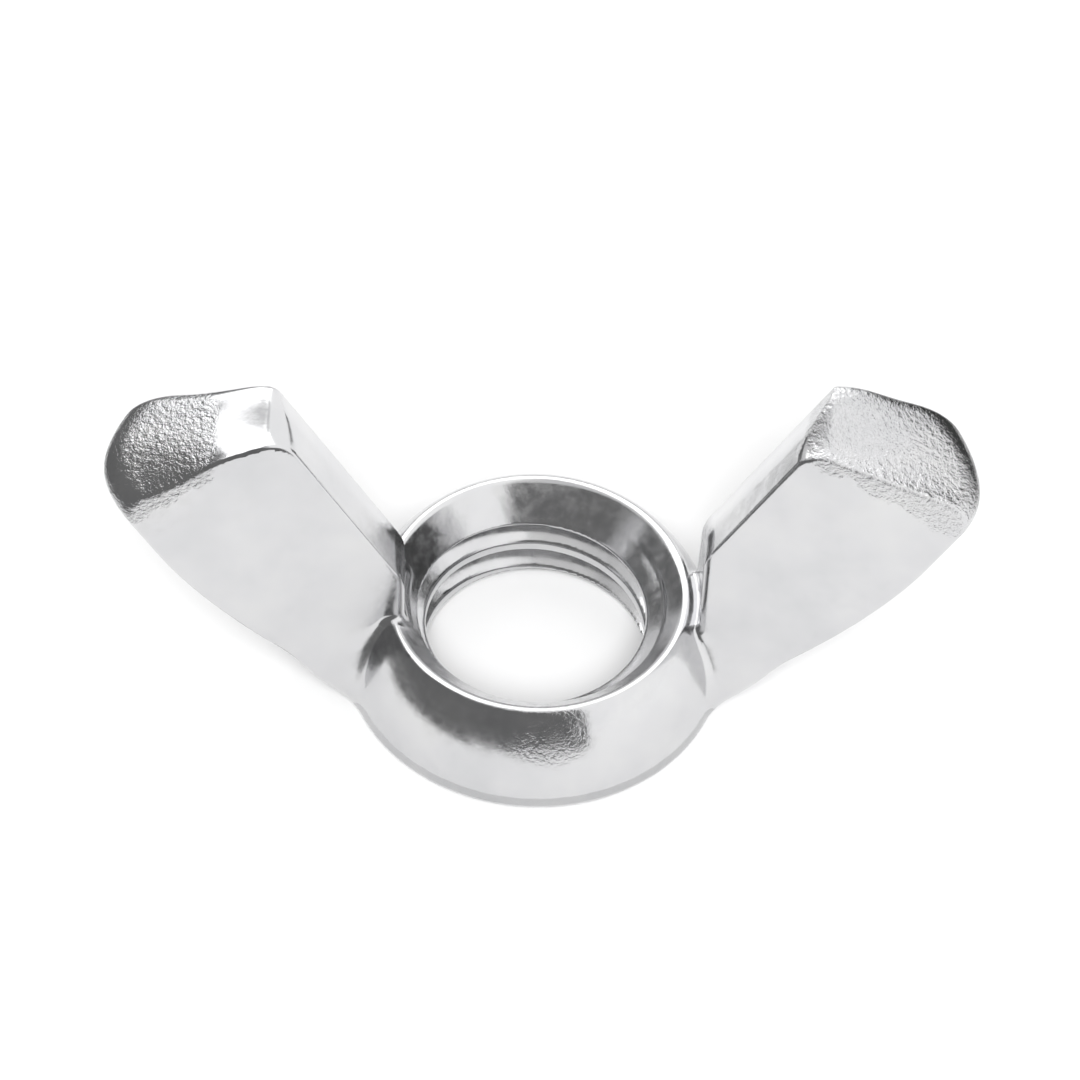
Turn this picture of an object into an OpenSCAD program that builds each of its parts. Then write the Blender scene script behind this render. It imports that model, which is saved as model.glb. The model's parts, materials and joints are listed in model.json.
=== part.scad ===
// Wing nut for an M10 x 1.5 thread, cold-forged American form.
// The origin is on the thread axis in the plane of the bearing face. +Z runs along the
// thread towards the wing tips, and the wings reach out along -X and +X.

/* [Thread] */
// Diameter of the bore across the thread's crests, the minor diameter
bore_d = 8.7; // [8.4:0.1:8.9]
// Slope of the wide countersink at the top of the bore, in degrees from the horizontal
top_slope = 42; // [38:1:45]
// Depth of the right-angled countersink at the bearing face
foot_lead = 0.45; // [0.3:0.05:0.7]

/* [Hub] */
// Height of the hub from the bearing face to its top
hub_h = 4.5; // [4.3:0.1:4.5]
// Radius at which the countersink meets the top of the hub
ridge_r = 5.9; // [5.7:0.05:5.9]
// Radius of the hub's ball-shaped side, centred in the bearing face
side_r = 7.5; // [7.5:0.05:7.7]
// Height and width of the small bevel around the bearing face
foot_bevel = 0.3; // [0.2:0.1:0.5]

/* [Wings] */
// Distance over both wing tips
spread = 33.9; // [33.3:0.1:34.5]
// Lean of each wing, in degrees from the vertical
wing_lean = 29; // [28:1:30]
// Width of a wing's flat face, across the wing's length
wing_w = 6.8; // [6.5:0.1:7]
// Thickness of a wing at its inner edge
inner_t = 2.5; // [2.3:0.1:2.8]
// Thickness of a wing at its outer edge
outer_t = 5.1; // [4.8:0.1:5.3]
// How far the outer edge bulges out between the two faces
edge_bulge = 0.75; // [0.5:0.05:0.8]
// Height of the front inner top corner above the bearing face
wing_h = 14.6; // [14.3:0.1:14.8]
// How far the left wing's outer top corner lies beyond a square end
left_rake = 2.1; // [1.8:0.1:2.3]
// How far the right wing's outer top corner lies beyond a square end
right_rake = 1.5; // [1.2:0.1:1.8]
// How far the back inner corner of the right wing's twisted tip rises above the front one
right_twist = 1.7; // [1:0.1:1.9]
// Radius of the left wing's outer top corner
left_corner_r = 1; // [0.8:0.1:1.4]
// Radius of the right wing's outer top corner
right_corner_r = 1.4; // [1:0.1:1.6]
// Radius of both inner top corners
inner_corner_r = 0.6; // [0.4:0.1:0.9]
// Height at which the outer edge turns in towards the foot of the hub
break_h = 4.4; // [4.2:0.1:4.7]
// Radius of that turn
break_r = 3; // [2:0.5:4]
// Height at which the underside of a wing meets the hub
underside_h = 0.6; // [0.5:0.1:0.9]
// Width of a wing's root where it flares into the side of the hub
flare_w = 8.4; // [7.8:0.2:8.4]
// Height of that flare above the bearing face
flare_h = 3.4; // [3:0.1:3.4]
// Distance from the thread axis at which that flare has died out
flare_x = 10.6; // [10:0.2:11]
// Radius of the round clearance between the two wings above the hub
clearance_r = 5.9; // [5.8:0.05:6]
// How far that clearance lies off the thread axis, towards the right wing
clearance_x = 0.6; // [0.4:0.05:0.65]

/* [Hidden] */
$fn = 96;

bore_r = bore_d / 2;

// Depth of the countersink at the top, down to the end of the bore.
top_lead = (ridge_r - bore_r) * tan(top_slope);
// Where the outline of a wing starts, inside the round clearance.
root_x = clearance_r - 1;

// A wing is drawn in its own leaning frame: u is across its width, from the thread axis
// outwards, and w is along its length.
function leaning(u, w) = [
    u * cos(wing_lean) + w * sin(wing_lean),
    w * cos(wing_lean) - u * sin(wing_lean)
];
full_w = wing_w + edge_bulge;
// Where the inner edge lies, so that the rounded outer corner just reaches the spread. The
// end of the wing runs from a rise of twist at the inner edge to one of rake at the outer.
function inner_edge(rake, twist, corner_r) =
    let (
        slope = (rake - twist) / full_w,
        corner_u = full_w - corner_r,
        corner_w = twist + slope * corner_u - corner_r / cos(atan(slope))
    )
    cos(wing_lean) * (spread / 2 - corner_r - corner_u * cos(wing_lean)
        - corner_w * sin(wing_lean) - wing_h * tan(wing_lean));
function square_end(inner_u) = (wing_h + inner_u * sin(wing_lean)) / cos(wing_lean);

// The round that replaces corner b between a and c.
corner_steps = 10;
function unit(v) = v / norm(v);
function rounded(a, b, c, r) =
    let (
        to_a = unit(a - b),
        to_c = unit(c - b),
        half = acos(to_a * to_c) / 2,
        centre = b + unit(to_a + to_c) * r / sin(half),
        start = b + to_a * r / tan(half) - centre,
        turn = sign(cross(start, b - a)) * (180 - 2 * half)
    )
    [for (i = [0 : corner_steps])
        let (t = turn * i / corner_steps)
        centre + [start[0] * cos(t) - start[1] * sin(t), start[0] * sin(t) + start[1] * cos(t)]];

// A countersink that opens upwards from the end of the bore, and runs on past its depth.
module countersink(depth, slope) {
    cylinder(r1 = bore_r, r2 = bore_r + 2 * depth / tan(slope), h = 2 * depth);
}

// The hub without its hole, as a solid of revolution.
module hub_envelope() {
    rotate_extrude() intersection() {
        circle(r = side_r);
        polygon([
            [0, 0],
            [side_r - foot_bevel, 0],
            [side_r, foot_bevel],
            [side_r, hub_h],
            [0, hub_h]
        ]);
    }
}

module hub() {
    color("gainsboro") difference() {
        hub_envelope();
        translate([0, 0, -1]) cylinder(r = bore_r, h = hub_h + 2);
        translate([0, 0, hub_h - top_lead]) countersink(top_lead, top_slope);
        translate([0, 0, foot_lead]) mirror([0, 0, 1]) countersink(foot_lead, 45);
    }
}

// The side view of a wing, with x outwards and y up.
module wing_outline(inner_u, rake, twist, corner_r) {
    outer_u = inner_u + full_w;
    top_w = square_end(inner_u);
    break_w = (break_h + outer_u * sin(wing_lean)) / cos(wing_lean);
    inner_top = leaning(inner_u, top_w + twist);
    outer_top = leaning(outer_u, top_w + rake);
    turn_in = leaning(outer_u, break_w);
    foot = [sqrt(pow(side_r, 2) - pow(underside_h, 2)) - 0.5, underside_h];
    root = leaning(inner_u, (root_x - inner_u * cos(wing_lean)) / sin(wing_lean));
    polygon(concat(
        [[root_x, underside_h], foot],
        rounded(foot, turn_in, outer_top, break_r),
        rounded(turn_in, outer_top, inner_top, corner_r),
        rounded(outer_top, inner_top, root, inner_corner_r),
        [root]
    ));
}

// A wing cut square across its length: thicker outwards, with a bulging outer edge.
module wing_section(inner_u) {
    bulge_r = (pow(outer_t / 2, 2) + pow(edge_bulge, 2)) / (2 * edge_bulge);
    growth = (outer_t - inner_t) / (2 * wing_w);
    reach = wing_w + 1;
    intersection() {
        polygon([
            [inner_u, inner_t / 2],
            [inner_u + reach, inner_t / 2 + growth * reach],
            [inner_u + reach, -inner_t / 2 - growth * reach],
            [inner_u, -inner_t / 2]
        ]);
        translate([inner_u + full_w - bulge_r, 0]) circle(r = bulge_r);
    }
}

// The flare of the root, seen from above.
module root_flare() {
    linear_extrude(flare_h) polygon([
        [root_x, flare_w / 2],
        [flare_x, inner_t / 2],
        [flare_x, -inner_t / 2],
        [root_x, -flare_w / 2]
    ]);
}

// What a twisted tip loses, in the leaning frame: all above the plane through its front inner,
// front outer and back inner corners.
module twist_cut(inner_u, rake, twist) {
    across = twist / inner_t;
    outwards = (rake - twist / 2 + across * outer_t / 2) / full_w;
    translate([inner_u, 0, square_end(inner_u) + twist / 2])
        rotate([asin(across / norm([1, outwards, across])), -atan(outwards), 0])
            translate([-wing_h, -wing_h, 0]) cube(2 * wing_h);
}

// A wing that reaches out along +X. Its side is 1 for the right wing and -1 for the left.
module wing(side, rake, twist, corner_r) {
    inner_u = inner_edge(rake, twist, corner_r);
    difference() {
        intersection() {
            translate([0, flare_w, 0]) rotate([90, 0, 0]) linear_extrude(2 * flare_w)
                wing_outline(inner_u, rake, twist, corner_r);
            union() {
                rotate([0, wing_lean, 0]) linear_extrude(2 * spread, center = true)
                    wing_section(inner_u);
                root_flare();
            }
        }
        if (twist > 0) rotate([0, wing_lean, 0]) twist_cut(inner_u, rake, twist);
        hub();
        translate([side * clearance_x, 0, 0]) cylinder(r = clearance_r, h = 2 * wing_h);
    }
}

module left_wing() {
    color("silver") mirror([1, 0, 0]) wing(-1, left_rake, 0, left_corner_r);
}

module right_wing() {
    color("silver") wing(1, right_rake, right_twist, right_corner_r);
}

hub();
left_wing();
right_wing();
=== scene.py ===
"""Cold-forged wing nut: one seamless forged body with its real thread, split where the CAD
nodes meet, in bright zinc plating."""
import json
import math

import bmesh
import bpy
import numpy as np
from mathutils import Matrix, Vector


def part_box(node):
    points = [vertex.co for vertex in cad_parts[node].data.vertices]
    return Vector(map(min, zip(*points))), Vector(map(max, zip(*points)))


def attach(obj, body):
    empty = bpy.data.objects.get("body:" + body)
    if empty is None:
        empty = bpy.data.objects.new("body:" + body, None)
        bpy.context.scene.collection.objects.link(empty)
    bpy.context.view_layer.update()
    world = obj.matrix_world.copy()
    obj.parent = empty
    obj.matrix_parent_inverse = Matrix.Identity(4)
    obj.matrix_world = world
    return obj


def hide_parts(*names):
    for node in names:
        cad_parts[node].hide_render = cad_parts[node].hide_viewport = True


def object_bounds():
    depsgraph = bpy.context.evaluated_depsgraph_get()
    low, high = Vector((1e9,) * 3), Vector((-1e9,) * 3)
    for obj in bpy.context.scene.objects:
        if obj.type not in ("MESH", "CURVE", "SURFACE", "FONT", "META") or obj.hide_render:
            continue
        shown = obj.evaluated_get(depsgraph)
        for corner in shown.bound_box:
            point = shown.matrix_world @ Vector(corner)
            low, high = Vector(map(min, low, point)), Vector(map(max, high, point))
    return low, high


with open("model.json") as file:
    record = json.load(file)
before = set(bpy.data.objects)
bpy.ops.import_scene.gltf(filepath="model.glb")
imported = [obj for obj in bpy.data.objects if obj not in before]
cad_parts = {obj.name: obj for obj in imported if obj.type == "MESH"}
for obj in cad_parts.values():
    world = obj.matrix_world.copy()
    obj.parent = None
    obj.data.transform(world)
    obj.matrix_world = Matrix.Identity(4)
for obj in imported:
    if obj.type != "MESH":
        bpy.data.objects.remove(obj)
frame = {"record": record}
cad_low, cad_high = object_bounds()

MM = 0.001

# Sizes are in millimetres. These are read from the frame.
thread = next(m for m in frame["record"]["mounts"] if m["name"] == "thread")
bore_r = thread["dims"]["r_mm"]
hub_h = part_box("hub")[1].z / MM
side_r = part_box("hub")[1].y / MM
spread = (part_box("right_wing")[1].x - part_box("left_wing")[0].x) / MM

# These repeat the driving dimensions of the CAD model.
foot_lead = 0.45
ridge_r = 5.9
top_slope = math.radians(42)
wing_lean = math.radians(29)
wing_w, edge_bulge = 6.8, 0.75
inner_t, outer_t = 2.5, 5.1
wing_h = 14.6
break_h, break_r = 4.4, 3.0
underside_h = 0.6
clearance_r, clearance_x = 5.9, 0.6

# What differs from wing to wing. The rake, twist and corner radius are those of the CAD
# model, and they only place the wing. The end itself follows the rises, which are how far its
# four corners lie above a square end: inner and outer at the front face, then inner and outer
# at the back face. The front drop lowers the end again towards its outer front corner.
WINGS = {
    "left": {
        "side": -1, "rake": 2.1, "twist": 0, "corner_r": 1.0,
        "rises": (0.1, 2.1, 0.75, 2.3), "front_drop": 0.8,
        "front_corner_r": 1.2, "back_corner_r": 2.6, "back_inner_r": 0.5, "back_edge_r": 0.8,
    },
    "right": {
        "side": 1, "rake": 1.5, "twist": 1.7, "corner_r": 1.4,
        "rises": (0, 1.5, 1.7, 2.3), "front_drop": 0,
        "front_corner_r": 1.2, "back_corner_r": 3.4, "back_inner_r": 0.25, "back_edge_r": 1.0,
    },
}

# Rounds that only the forged surface has.
foot_round, ridge_round, shoulder_round = 0.3, 0.2, 0.3
front_inner_r, front_edge_r = 0.9, 0.13
root_wall_round = 0.35

# The fillet between hub and wings grows with the distance from the thread axis.
fillet_near, fillet_far = 0.35, 3.4
near_r, far_r = 6.4, 9.5

# The internal M10 x 1.5 thread.
thread_pitch, thread_root_r = 1.5, 5.08
thread_crest_round, thread_root_round = 0.12, 0.08

# The grid on which the surface is sampled, and how the mesh is finished.
cell = 0.12
shortest_edge = 0.003
shading_step = 0.02

# Derived values, as in the CAD model.
lean_cos, lean_sin = math.cos(wing_lean), math.sin(wing_lean)
full_w = wing_w + edge_bulge
face_growth = (outer_t - inner_t) / (2 * wing_w)
bulge_r = ((outer_t / 2) ** 2 + edge_bulge ** 2) / (2 * edge_bulge)


def inner_edge(wing):
    """Where a wing's inner edge lies, so that its outer corner just reaches the spread."""
    slope = (wing["rake"] - wing["twist"]) / full_w
    corner_u = full_w - wing["corner_r"]
    corner_w = wing["twist"] + slope * corner_u - wing["corner_r"] * math.hypot(1, slope)
    return lean_cos * (
        spread / 2 - wing["corner_r"] - corner_u * lean_cos - corner_w * lean_sin
        - wing_h * math.tan(wing_lean)
    )


def square_end(inner_u):
    """How far along a wing its end would lie if it were cut square."""
    return (wing_h + inner_u * lean_sin) / lean_cos


# --- The forged body as a distance field: negative inside, in millimetres ----------------

def smoothstep(low, high, value):
    t = np.clip((value - low) / (high - low), 0, 1)
    return t * t * (3 - 2 * t)


def mix(a, b, share):
    return a + (b - a) * share


def joined(a, b, r):
    """The union of two fields, with a fillet of radius r where they meet."""
    near_a = np.maximum(r - a, 0)
    near_b = np.maximum(r - b, 0)
    return np.maximum(r, np.minimum(a, b)) - np.hypot(near_a, near_b)


def trimmed(a, b, r):
    """The common part of two fields, with a round of radius r along its edge."""
    near_a = np.maximum(r + a, 0)
    near_b = np.maximum(r + b, 0)
    return np.minimum(-r, np.maximum(a, b)) + np.hypot(near_a, near_b)


def hub_field(r, z):
    """The hub with its ball-shaped side and the wide countersink in its top."""
    body = trimmed(np.hypot(r, z) - side_r, z - hub_h, shoulder_round)
    cone = (r - ridge_r) * math.sin(top_slope) - (z - hub_h) * math.cos(top_slope)
    return trimmed(body, -cone, ridge_round)


def underside_field(x, z, outer_u):
    """The plane under a wing, from the turn in its outer edge down into the foot of the hub."""
    inside_hub = 0.5
    break_w = (break_h + outer_u * lean_sin) / lean_cos
    turn_x = outer_u * lean_cos + break_w * lean_sin
    foot_x = math.sqrt(side_r ** 2 - underside_h ** 2) - inside_hub
    run, rise = turn_x - foot_x, break_h - underside_h
    return ((x - foot_x) * rise - (z - underside_h) * run) / math.hypot(run, rise)


def end_field(above_square, across, back, outward, wing):
    """The end of a wing, between the rises of its four corners. Across runs from -1 at the
    front face to 1 at the back one, and outward from 0 at the inner edge to 1 at the outer.
    The scale brings the height above the sloping end nearer to a distance."""
    scale = 0.95
    front_in, front_out, back_in, back_out = wing["rises"]
    rise = mix(mix(front_in, front_out, outward), mix(back_in, back_out, outward), back)
    drop = wing["front_drop"] * np.clip(-across, 0, 1) ** 2 * smoothstep(0.25, 0.75, outward)
    return (above_square - rise + drop) * scale


def wing_field(x, y, z, wing):
    """A wing in its own leaning frame: u is across its width, and w is along its length."""
    inner_u = inner_edge(wing)
    outer_u = inner_u + full_w
    out = x * wing["side"]
    u = out * lean_cos - z * lean_sin
    w = out * lean_sin + z * lean_cos
    half_t = inner_t / 2 + face_growth * (u - inner_u)
    faces = (np.abs(y) - half_t) / math.hypot(1, face_growth)
    across = y / np.maximum(half_t, 1)
    back = smoothstep(-1, 1, across)
    outward = np.clip((u - inner_u) / full_w, 0, 1)
    end = end_field(w - square_end(inner_u), across, back, outward, wing)
    outer = np.hypot(u - (outer_u - bulge_r), y) - bulge_r
    corner_r = mix(wing["front_corner_r"], wing["back_corner_r"], smoothstep(-0.8, 1, across))
    edge_r = mix(front_edge_r, wing["back_edge_r"], back * smoothstep(0, 0.5, outward))
    rim = trimmed(end, inner_u - u, mix(front_inner_r, wing["back_inner_r"], back))
    rim = trimmed(rim, outer, corner_r)
    rim = trimmed(rim, underside_field(out, z, outer_u), break_r)
    blade = trimmed(rim, faces, edge_r)
    clearance = clearance_r - np.hypot(x - clearance_x, y)
    return trimmed(blade, clearance, root_wall_round)


def hole_field(x, y, z, r):
    """The threaded hole with its lower countersink, negative in the hole. The thread's groove
    has a flat root an eighth of the pitch wide, between flanks at 60 degrees to each other."""
    turn = np.arctan2(y, x) / (2 * math.pi)
    from_groove = np.abs((z / thread_pitch - turn) % 1 - 0.5) * thread_pitch
    flank = (from_groove - thread_pitch / 16) * math.sqrt(3)
    groove = trimmed(r - thread_root_r, (flank + r - thread_root_r) / 2, thread_root_round)
    foot_cone = (r - bore_r - (foot_lead - z)) * math.sqrt(0.5)
    return np.minimum(joined(r - bore_r, groove, thread_crest_round), foot_cone)


def nut_field(x, y, z):
    """The whole forging."""
    r = np.hypot(x, y)
    fillet = mix(fillet_near, fillet_far, smoothstep(near_r, far_r, r))
    wings = np.where(
        x < 0, wing_field(x, y, z, WINGS["left"]), wing_field(x, y, z, WINGS["right"])
    )
    solid = joined(hub_field(r, z), wings, fillet)
    solid = trimmed(solid, -z, foot_round)
    return trimmed(solid, -hole_field(x, y, z, r), thread_crest_round)


# --- From field to mesh -----------------------------------------------------------------

CELL_CORNERS = [(a, b, c) for a in (0, 1) for b in (0, 1) for c in (0, 1)]


def gradient(points, step=0.01):
    """The slope of the field at each point. On the surface it points along the normal."""
    columns = []
    for axis in range(3):
        ahead, behind = points.copy(), points.copy()
        ahead[:, axis] += step
        behind[:, axis] -= step
        columns.append((nut_field(*ahead.T) - nut_field(*behind.T)) / (2 * step))
    return np.stack(columns, 1)


def sampled_field():
    """The grid's lowest corner and the field's values on it, a little beyond the CAD's box."""
    margin = 3 * cell
    low = np.array(cad_low) / MM - margin
    high = np.array(cad_high) / MM + margin
    count = np.ceil((high - low) / cell).astype(int) + 1
    axes = [low[i] + cell * np.arange(count[i]) for i in range(3)]
    value = np.empty(count, np.float32)
    yy, zz = np.meshgrid(axes[1], axes[2], indexing="ij")
    for i, x in enumerate(axes[0]):
        value[i] = nut_field(np.full_like(yy, x), yy, zz)
    return low, value


def crossed_cells(inside):
    """The cells that the surface runs through, and a grid with each one's number."""
    cells = np.array(inside.shape) - 1
    held = sum(
        inside[a:a + cells[0], b:b + cells[1], c:c + cells[2]].astype(np.int8)
        for a, b, c in CELL_CORNERS
    )
    crossed = np.argwhere((held > 0) & (held < len(CELL_CORNERS)))
    number = np.full(cells, -1, np.int64)
    number[tuple(crossed.T)] = np.arange(len(crossed))
    return crossed, number


def net_points(value, crossed):
    """A point in each crossed cell, from the grid's lowest corner: the mean of the places
    where the surface crosses the cell's edges."""
    total = np.zeros((len(crossed), 3))
    hits = np.zeros(len(crossed))
    for axis in range(3):
        for start in (k for k in CELL_CORNERS if k[axis] == 0):
            near = crossed + start
            far = near.copy()
            far[:, axis] += 1
            near_value, far_value = value[tuple(near.T)], value[tuple(far.T)]
            crossing = (near_value < 0) != (far_value < 0)
            gap = np.where(crossing, near_value - far_value, 1)
            spot = near.astype(float)
            spot[:, axis] += np.where(crossing, near_value / gap, 0)
            total[crossing] += spot[crossing]
            hits[crossing] += 1
    return cell * total / hits[:, None]


def net_faces(inside, number):
    """A face with its front outwards around each grid edge that the surface crosses, between
    the points of the four cells at that edge."""
    faces = []
    for axis in range(3):
        one, two = [k for k in range(3) if k != axis]
        edge = np.argwhere(np.diff(inside.astype(np.int8), axis=axis) != 0)
        edge = edge[(edge[:, one] > 0) & (edge[:, two] > 0)]
        outward = inside[tuple(edge.T)]
        ring = []
        for back_one, back_two in ((0, 0), (1, 0), (1, 1), (0, 1)):
            neighbour = edge.copy()
            neighbour[:, one] -= back_one
            neighbour[:, two] -= back_two
            ring.append(number[tuple(neighbour.T)])
        quads = np.stack(ring, 1)
        flip = outward if axis == 1 else ~outward
        quads[flip] = quads[flip][:, ::-1]
        faces.append(quads)
    return np.concatenate(faces)


def settled(points, rounds=3, least_squared_slope=0.05):
    """The points moved onto the surface, along the slope of the field."""
    for _ in range(rounds):
        slope = gradient(points)
        squared = np.maximum((slope ** 2).sum(1), least_squared_slope)
        move = -nut_field(*points.T)[:, None] * slope / squared[:, None]
        points = points + np.clip(move, -cell / 2, cell / 2)
    return points


def forged_body():
    """The whole forging as one bmesh in metres, without edges too short to matter."""
    low, value = sampled_field()
    crossed, number = crossed_cells(value < 0)
    points = settled(low + net_points(value, crossed))
    mesh = bpy.data.meshes.new("forging")
    mesh.from_pydata((points * MM).tolist(), [], net_faces(value < 0, number).tolist())
    mesh.validate()
    body = bmesh.new()
    body.from_mesh(mesh)
    bpy.data.meshes.remove(mesh)
    bmesh.ops.remove_doubles(body, verts=body.verts, dist=shortest_edge * MM)
    return body


def cut_away(piece, at, keep):
    """Keep what lies on one side of the plane x = at, and close it with a flat cap. A point
    nearer to the plane than the tolerance counts as on it."""
    tolerance = 1e-7
    cut = bmesh.ops.bisect_plane(
        piece, geom=piece.verts[:] + piece.edges[:] + piece.faces[:], dist=tolerance,
        plane_co=(at, 0, 0), plane_no=(keep, 0, 0), clear_inner=True,
    )
    rim = [e for e in cut["geom_cut"] if isinstance(e, bmesh.types.BMEdge) and e.is_boundary]
    bmesh.ops.triangle_fill(piece, edges=rim, use_beauty=True, normal=(-keep, 0, 0))


def shade_as_one(mesh, cuts):
    """Give the mesh the normals of the field, so that the flat cuts between the pieces can't
    be seen. The caps keep their own normals."""
    at_plane, along_x = 1e-6, 0.99
    spots = np.empty(len(mesh.vertices) * 3)
    mesh.vertices.foreach_get("co", spots)
    slope = gradient(spots.reshape(-1, 3) / MM, shading_step)
    slope /= np.linalg.norm(slope, axis=1)[:, None]
    corner_vertex = np.empty(len(mesh.loops), np.int64)
    mesh.loops.foreach_get("vertex_index", corner_vertex)
    normals = slope[corner_vertex]
    for face in mesh.polygons:
        face.use_smooth = True
        at_cut = any(abs(face.center.x - at) < at_plane for at, keep in cuts)
        if at_cut and abs(face.normal.x) > along_x:
            normals[list(face.loop_indices)] = face.normal
    mesh.normals_split_custom_set(normals)


def forged_piece(body, name, node, cuts, material):
    """The part of the forging that stands for a CAD node."""
    piece = body.copy()
    for at, keep in cuts:
        cut_away(piece, at, keep)
    mesh = bpy.data.meshes.new(name)
    piece.to_mesh(mesh)
    piece.free()
    shade_as_one(mesh, cuts)
    mesh.materials.append(material)
    thing = bpy.data.objects.new(name, mesh)
    bpy.context.scene.collection.objects.link(thing)
    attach(thing, "root")
    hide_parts(node)


def nut():
    """The forging, cut where the wings leave the hub."""
    body = forged_body()
    zinc = zinc_plating()
    split_x = (clearance_r + root_wall_round) * MM
    forged_piece(body, "forged_hub", "hub", ((split_x, -1), (-split_x, 1)), zinc)
    forged_piece(body, "forged_left_wing", "left_wing", ((-split_x, -1),), zinc)
    forged_piece(body, "forged_right_wing", "right_wing", ((split_x, 1),), zinc)
    body.free()


# --- Materials --------------------------------------------------------------------------

class Graph:
    """A short way to write a node material."""

    def __init__(self, name):
        self.material = bpy.data.materials.new(name)
        self.material.use_nodes = True
        self.tree = self.material.node_tree
        self.shader = self.tree.nodes["Principled BSDF"]
        self.place = self.node("ShaderNodeTexCoord").outputs["Object"]

    def node(self, kind, **settings):
        made = self.tree.nodes.new(kind)
        for name, value in settings.items():
            setattr(made, name, value)
        return made

    def link(self, source, target):
        """Feed a socket from another one, or set it to a number."""
        if isinstance(source, (int, float)):
            target.default_value = source
        else:
            self.tree.links.new(source, target)

    def noise(self, size_mm, detail=2.0, roughness=0.5):
        made = self.node("ShaderNodeTexNoise")
        self.link(self.place, made.inputs["Vector"])
        made.inputs["Scale"].default_value = 1 / (size_mm * MM)
        made.inputs["Detail"].default_value = detail
        made.inputs["Roughness"].default_value = roughness
        return made.outputs["Fac"]

    def math(self, operation, *values):
        made = self.node("ShaderNodeMath", operation=operation)
        for value, socket in zip(values, made.inputs):
            self.link(value, socket)
        return made.outputs[0]

    def spread(self, value, low, high, to_low, to_high):
        """Map the range from low to high onto another one, eased at both ends."""
        made = self.node("ShaderNodeMapRange", interpolation_type="SMOOTHSTEP")
        for one, name in zip(
            (value, low, high, to_low, to_high),
            ("Value", "From Min", "From Max", "To Min", "To Max"),
        ):
            self.link(one, made.inputs[name])
        return made.outputs["Result"]

    def ramp(self, value, *stops):
        made = self.node("ShaderNodeValToRGB")
        self.link(value, made.inputs["Fac"])
        steps = made.color_ramp.elements
        while len(steps) < len(stops):
            steps.new(0.5)
        for step, (where, colour) in zip(steps, stops):
            step.position = where
            step.color = (*colour, 1)
        return made.outputs["Color"]

    def bump(self, height, depth_mm, strength, below=None):
        made = self.node("ShaderNodeBump")
        made.inputs["Distance"].default_value = depth_mm * MM
        self.link(height, made.inputs["Height"])
        self.link(strength, made.inputs["Strength"])
        if below is not None:
            self.link(below, made.inputs["Normal"])
        return made.outputs["Normal"]


def coarse_places(g):
    """1 where the die didn't hold the metal, which is at most of the wing ends and in a scar
    on the hub, and 0 on the pressed faces."""
    end_w, end_fade = square_end(inner_edge(WINGS["left"])) + 0.4, 0.6
    left_x, right_x, side_fade = -13.2, 8.0, 1.0
    scar_at, scar_r, scar_strength = (0.4, -6.4, 3.4), 1.6, 0.4
    ragged_size, ragged_depth = 1.1, 1.6
    parts = g.node("ShaderNodeSeparateXYZ")
    g.link(g.place, parts.inputs[0])
    x, y, z = parts.outputs
    raggedness = g.noise(ragged_size, 3, 0.6)
    out = g.math("MULTIPLY", g.math("ABSOLUTE", x), lean_sin)
    along = g.math("MULTIPLY_ADD", z, lean_cos, out)
    ragged = g.math("MULTIPLY_ADD", raggedness, ragged_depth * MM, along)
    tip = g.spread(ragged, end_w * MM, (end_w + end_fade) * MM, 0, 1)
    left_end = g.spread(x, left_x * MM, (left_x + side_fade) * MM, 1, 0)
    right_end = g.spread(x, right_x * MM, (right_x + side_fade) * MM, 0, 1)
    tip = g.math("MULTIPLY", tip, g.math("MAXIMUM", left_end, right_end))
    scar = g.node("ShaderNodeVectorMath", operation="DISTANCE")
    g.link(g.place, scar.inputs[0])
    scar.inputs[1].default_value = [v * MM for v in scar_at]
    ragged = g.math("MULTIPLY_ADD", raggedness, ragged_depth * MM, scar.outputs["Value"])
    scarred = g.spread(ragged, scar_r * MM, 2 * scar_r * MM, scar_strength, 0)
    return g.math("MAXIMUM", tip, scarred)


def zinc_plating():
    """Bright zinc over a cold-forged surface, smooth on the pressed faces and grainy where
    the metal is coarse."""
    g = Graph("zinc_plating")
    coarse = coarse_places(g)
    cloud = g.noise(3.5, 3, 0.55)
    fleck = g.noise(0.5, 4, 0.6)
    grain = g.noise(0.2, 3, 0.65)
    tone = g.math("ADD", g.math("MULTIPLY", cloud, 0.7), g.math("MULTIPLY", fleck, 0.3))
    dull, plain, bright = (0.57, 0.575, 0.585), (0.63, 0.63, 0.64), (0.68, 0.68, 0.68)
    colour = g.ramp(tone, (0.3, dull), (0.5, plain), (0.7, bright))
    g.link(colour, g.shader.inputs["Base Color"])
    g.shader.inputs["Metallic"].default_value = 1.0
    sheen = g.spread(fleck, 0.3, 0.7, 0.13, 0.24)
    g.link(g.math("MULTIPLY_ADD", coarse, -0.03, sheen), g.shader.inputs["Roughness"])
    broad = g.bump(g.noise(2.2, 1), 0.05, 0.5)
    medium = g.bump(fleck, 0.02, g.spread(coarse, 0, 1, 0.2, 0.9), broad)
    fine = g.bump(grain, 0.08, g.spread(coarse, 0, 1, 0.02, 1), medium)
    g.link(fine, g.shader.inputs["Normal"])
    return g.material


def pale_paint(name, grey, rough):
    """Matt paint with a trace of unevenness in broad patches."""
    g = Graph(name)
    patch_mm, darker = 120, grey * 0.99
    tone = g.ramp(g.noise(patch_mm), (0.3, (darker,) * 3), (0.7, (grey,) * 3))
    g.link(tone, g.shader.inputs["Base Color"])
    g.shader.inputs["Roughness"].default_value = rough
    g.shader.inputs["Specular IOR Level"].default_value = 0.1
    return g.material


def card_paint(name, level):
    """An even glow."""
    g = Graph(name)
    glow = g.node("ShaderNodeEmission")
    glow.inputs["Color"].default_value = (level, level, level, 1)
    g.link(glow.outputs[0], g.tree.nodes["Material Output"].inputs["Surface"])
    return g.material


# --- Scene, in metres -------------------------------------------------------------------

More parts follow.
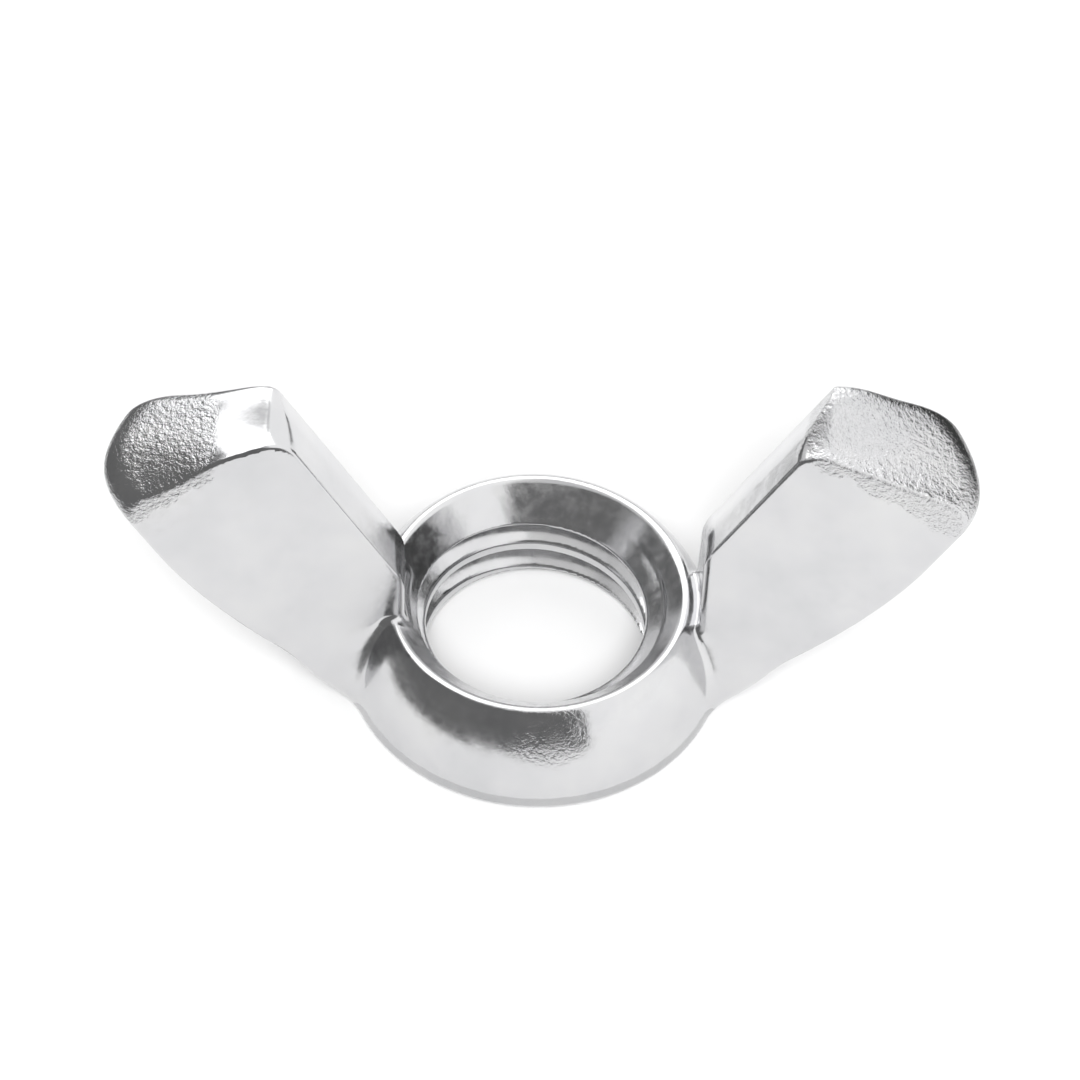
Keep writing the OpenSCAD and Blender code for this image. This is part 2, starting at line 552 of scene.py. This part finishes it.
def staged(name, points, faces, material):
    """A mesh that isn't part of the object."""
    mesh = bpy.data.meshes.new(name)
    mesh.from_pydata(points, [], faces)
    mesh.materials.append(material)
    thing = bpy.data.objects.new(name, mesh)
    bpy.context.scene.collection.objects.link(thing)
    return thing


def floor(half=5.0):
    corners = [(-half, -half, 0), (half, -half, 0), (half, half, 0), (-half, half, 0)]
    staged("floor", corners, [(0, 1, 2, 3)], pale_paint("pale_floor", 0.9, 0.8))


def card(name, turn, rise, level, radius=0.4, steps=12):
    """A card that only the metal's reflections see: a patch of a dome, from one azimuth and
    elevation in degrees to another."""
    points = []
    for i in range(steps + 1):
        a = math.radians(mix(*turn, i / steps))
        for j in range(steps + 1):
            e = math.radians(mix(*rise, j / steps))
            points.append((
                radius * math.cos(a) * math.cos(e),
                radius * math.sin(a) * math.cos(e),
                radius * math.sin(e),
            ))
    row = steps + 1
    faces = [
        (i * row + j, (i + 1) * row + j, (i + 1) * row + j + 1, i * row + j + 1)
        for i in range(steps) for j in range(steps)
    ]
    thing = staged(name, points, faces, card_paint(name + "_paint", level))
    thing.visible_camera = False
    thing.visible_diffuse = False
    thing.visible_shadow = False


def cards():
    """What the plating reflects besides the sky and the floor. The dark cards are near the nut,
    so that parts at different heights see them in different directions. The foot's card is a
    ring just outside the hub, glowing dimmer than the lit floor: a painted shadow that the
    hub's foot reflects in place of the floor's contact shadow."""
    near, nearer, past_right_tip = 0.028, 0.022, 0.0265
    round_hub = (side_r + 0.15) * MM
    card("dark_end", (165, 183), (0, 51), 0.16, near)
    card("dark_side", (183, 297), (0, 64), 0.18, near)
    card("dark_low", (190, 240), (0, 8), 0.18, nearer)
    card("dark_left", (125, 165), (0, 38), 0.18, near)
    card("dark_tip", (3, 46), (8, 45), 0.06, past_right_tip)
    # Painted shadow: a dim ring that the foot of the hub reflects instead of the floor's
    # contact shadow.
    card("painted_foot_shadow", (0, 360), (0, 4.3), 0.85, round_hub, steps=40)
    card("bright_back", (60, 160), (29, 80), 2.2)
    card("bright_right", (-63, 60), (0, 88), 1.25)


def sky(level):
    """A plain sky, equally bright all round."""
    world = bpy.data.worlds.new("soft_room")
    world.use_nodes = True
    background = world.node_tree.nodes["Background"]
    background.inputs["Color"].default_value = (1, 1, 1, 1)
    background.inputs["Strength"].default_value = level
    bpy.context.scene.world = world


def fill_light(strength):
    """Soft light from the camera's side, for the floor only."""
    data = bpy.data.lights.new("fill", "SUN")
    data.energy = strength
    data.angle = math.radians(25)
    thing = bpy.data.objects.new("fill", data)
    thing.rotation_euler = (math.radians(39.5), 0, 0)
    thing.visible_glossy = False
    bpy.context.scene.collection.objects.link(thing)


def camera():
    """The photograph's view: from the front and about 50 degrees above, with a slight roll."""
    elevation, azimuth, roll = math.radians(50.54), math.radians(-2.15), math.radians(2.63)
    distance, aim_h = 0.25, 0.00725
    shift_right, shift_up = 0.00004, 0.000215
    back = Vector((
        math.sin(azimuth) * math.cos(elevation),
        -math.cos(azimuth) * math.cos(elevation),
        math.sin(elevation),
    ))
    level_right = Vector((math.cos(azimuth), math.sin(azimuth), 0))
    level_up = back.cross(level_right)
    right = level_right * math.cos(roll) + level_up * math.sin(roll)
    up = level_up * math.cos(roll) - level_right * math.sin(roll)
    data = bpy.data.cameras.new("camera")
    data.sensor_width = 36
    data.lens = 213.3
    data.clip_start = 0.01
    thing = bpy.data.objects.new("camera", data)
    turn = Matrix((right, up, back)).transposed().to_4x4()
    centre = Vector((0, 0, aim_h)) + back * distance + right * shift_right + up * shift_up
    thing.matrix_world = Matrix.Translation(centre) @ turn
    bpy.context.scene.collection.objects.link(thing)
    bpy.context.scene.camera = thing


nut()
floor()
cards()
fill_light(2.3)
sky(0.8)
camera()
bpy.context.scene.view_settings.view_transform = "Standard"
